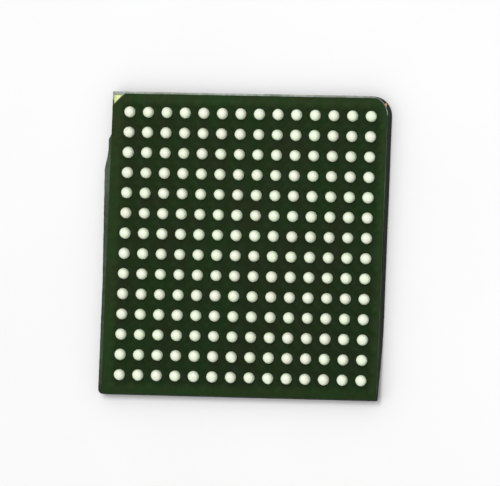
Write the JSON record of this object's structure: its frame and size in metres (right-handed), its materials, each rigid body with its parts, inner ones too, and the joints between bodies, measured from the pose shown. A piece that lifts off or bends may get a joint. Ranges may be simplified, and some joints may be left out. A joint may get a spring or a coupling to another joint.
{
  "type": "bga chip",
  "caption": "Square surface-mount chip with a moulded cap on a thin green laminate and a full grid of solder balls on its underside.",
  "frame": {"origin": "middle of the cap's marking face, which the chip lies on with its balls up", "axes": "+Z from the marking face to the balls; +X east and +Y north, with ball A1 and the plated corner mark at the north-west corner, rows A to P running west to east and columns 1 to 14 north to south"},
  "size_m": [0.012, 0.012, 0.0009],
  "materials": {
    "mould_compound": "black filled epoxy, fine matt grain",
    "green_mask": "dark green solder mask, semi-gloss",
    "bare_laminate": "grey-green glass and resin laminate, sawn matt",
    "copper": "etched copper",
    "gold_plate": "soft gold plate",
    "solder": "bright solder, slightly dulled",
    "silicon": "polished silicon",
    "adhesive_film": "cured adhesive film"
  },
  "bodies": {
    "root": {"mould_cap": "mould_compound", "solder_mask_die_side": "green_mask", "die_side_copper": "copper", "laminate_core": "bare_laminate", "vias": "copper", "ball_side_copper": "copper", "solder_mask_ball_side": "green_mask", "pin_a1_mark": "gold_plate", "die": "silicon", "die_attach": "adhesive_film", "bond_wires": "gold_plate", "ball_row_a": "solder", "ball_row_b": "solder", "ball_row_c": "solder", "ball_row_d": "solder", "ball_row_e": "solder", "ball_row_f": "solder", "ball_row_g": "solder", "ball_row_h": "solder", "ball_row_j": "solder", "ball_row_k": "solder", "ball_row_l": "solder", "ball_row_m": "solder", "ball_row_n": "solder", "ball_row_p": "solder"}
  },
  "joints": []
}
